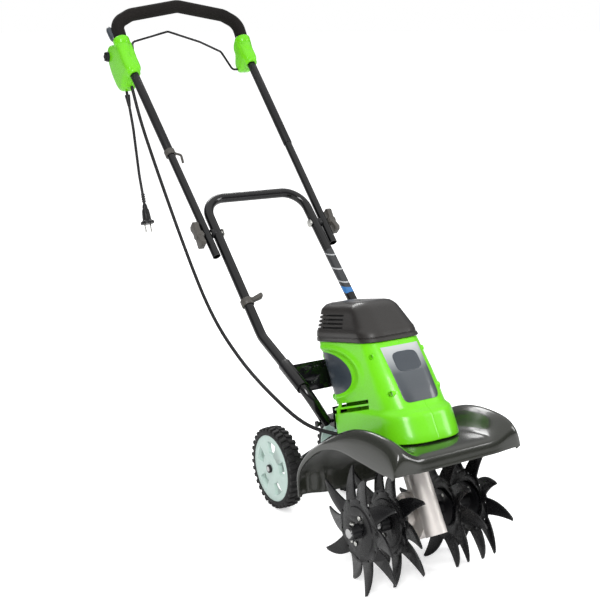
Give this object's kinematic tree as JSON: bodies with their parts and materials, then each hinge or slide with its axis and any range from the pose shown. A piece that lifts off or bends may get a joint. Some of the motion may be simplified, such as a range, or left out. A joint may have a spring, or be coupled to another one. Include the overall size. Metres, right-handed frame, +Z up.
{
  "type": "garden tiller",
  "caption": "Corded electric garden tiller with a green motor casing, dark tine guard, dished steel tines, folding tube handle with foam grip, and folding transport wheels",
  "frame": {"origin": "on the ground plane under the middle of the tine shaft, in the mid-plane of the machine", "axes": "+X along the tine shaft, to the side away from the switch box; +Y back towards the operator; +Z up"},
  "size_m": [0.333, 1.0578, 0.9572],
  "materials": {
    "casing_green": "lime green moulded plastic with a gloss surface",
    "cap_plastic": "dark warm grey moulded plastic, satin",
    "badge_plate": "smooth slate coloured plate",
    "fender_plastic": "dark olive grey plastic, semi-gloss",
    "black_plastic": "fine grained black plastic",
    "knob_plastic": "taupe grey moulded plastic",
    "black_enamel": "gloss black powder coat on steel",
    "cast_alloy": "cast alloy, fine satin grain",
    "tine_steel": "dark painted steel with worn edges",
    "black_steel": "black painted steel",
    "zinc_steel": "zinc plated steel",
    "bright_steel": "ground bright steel",
    "lamination_steel": "stacked steel laminations",
    "brass": "plain brass or bronze",
    "grip_foam": "closed cell foam, matt",
    "cable_rubber": "smooth black cable sheath",
    "wheel_plastic": "pale grey-green moulded plastic",
    "tyre_rubber": "hard dark tyre with block tread"
  },
  "bodies": {
    "power_head": {"housing_left": "casing_green", "housing_right": "casing_green", "housing_screws": "zinc_steel", "motor_cap": "cap_plastic", "badges": "badge_plate", "stator": "lamination_steel", "motor_end_frame": "black_plastic", "carbon_brushes": "brass", "motor_bearings": "bright_steel", "gear_case": "cast_alloy", "gear_case_cover": "cast_alloy", "machine_screws": "zinc_steel", "shaft_bearings": "bright_steel", "fender": "fender_plastic", "lower_handle": "black_enamel", "handle_bracket": "black_enamel", "frame_bolts": "black_steel", "wheel_mount": "black_enamel", "handle_spacers": "black_plastic", "handle_bolts": "zinc_steel", "cable_clip": "knob_plastic", "motor_cable_lower": "cable_rubber", "cord_clamp": "black_plastic"},
    "tine_set": {"tine_shaft": "bright_steel", "worm_wheel": "brass", "tine_outer_left": "tine_steel", "tine_inner_left": "tine_steel", "tine_inner_right": "tine_steel", "tine_outer_right": "tine_steel", "tine_hubs": "black_steel", "tine_rivets": "zinc_steel", "hitch_pins": "zinc_steel"},
    "rotor": {"armature": "lamination_steel", "worm_shaft": "bright_steel", "cooling_fan": "black_plastic"},
    "wheel_carrier": {"wheel_frame": "black_enamel", "axle_rod": "bright_steel", "axle_caps": "black_plastic"},
    "wheel_left": {"wheel_disc_left": "wheel_plastic", "tyre_left": "tyre_rubber"},
    "wheel_right": {"wheel_disc_right": "wheel_plastic", "tyre_right": "tyre_rubber"},
    "knob_left_body": {"knob_left": "knob_plastic"},
    "knob_right_body": {"knob_right": "knob_plastic"},
    "upper_frame": {"upper_handle": "black_enamel", "tube_sleeves": "black_plastic", "foam_grip": "grip_foam", "switch_box_outer": "casing_green", "switch_box_inner": "casing_green", "pivot_box": "casing_green", "switch_unit": "black_plastic", "inlet_cord": "cable_rubber", "plug_body": "black_plastic", "plug_pins": "zinc_steel", "motor_cable_upper": "cable_rubber", "cord_hook": "knob_plastic"},
    "bail": {"bail_rod": "black_enamel"},
    "lock_button_body": {"lock_button": "black_plastic"}
  },
  "joints": [
    {"name": "tine_spin", "type": "hinge", "parent": "power_head", "child": "tine_set", "pos_m": [0, 0, 0.105], "axis": [1, 0, 0], "continuous": true},
    {"name": "motor_spin", "type": "hinge", "parent": "power_head", "child": "rotor", "pos_m": [0, -0.03774, 0.12951], "axis": [0, 0.5446, 0.8387], "continuous": true},
    {"name": "wheel_frame_fold", "type": "hinge", "parent": "power_head", "child": "wheel_carrier", "pos_m": [0, 0.192, 0.19], "axis": [1, 0, 0], "range_deg": [0, 35]},
    {"name": "wheel_left_spin", "type": "hinge", "parent": "wheel_carrier", "child": "wheel_left", "pos_m": [0, 0.338, 0.08], "axis": [1, 0, 0], "continuous": true},
    {"name": "wheel_right_spin", "type": "hinge", "parent": "wheel_carrier", "child": "wheel_right", "pos_m": [0, 0.338, 0.08], "axis": [1, 0, 0], "continuous": true},
    {"name": "handle_fold", "type": "hinge", "parent": "power_head", "child": "upper_frame", "pos_m": [0, 0.514, 0.51297], "axis": [1, 0, 0], "range_deg": [0, 140]},
    {"name": "knob_left_turn", "type": "hinge", "parent": "power_head", "child": "knob_left_body", "pos_m": [-0.145, 0.514, 0.51297], "axis": [1, 0, 0], "continuous": true},
    {"name": "knob_right_turn", "type": "hinge", "parent": "power_head", "child": "knob_right_body", "pos_m": [0.145, 0.514, 0.51297], "axis": [1, 0, 0], "continuous": true},
    {"name": "bail_squeeze", "type": "hinge", "parent": "upper_frame", "child": "bail", "pos_m": [0, 0.884, 0.806], "axis": [-1, 0, 0], "range_deg": [0, 25]},
    {"name": "lock_button_press", "type": "slide", "parent": "upper_frame", "child": "lock_button_body", "axis": [1, 0, 0], "range_m": [0, 0.003]}
  ],
  "couplings": [
    {"joint": "motor_spin", "follows": "tine_spin", "ratio": 40}
  ]
}
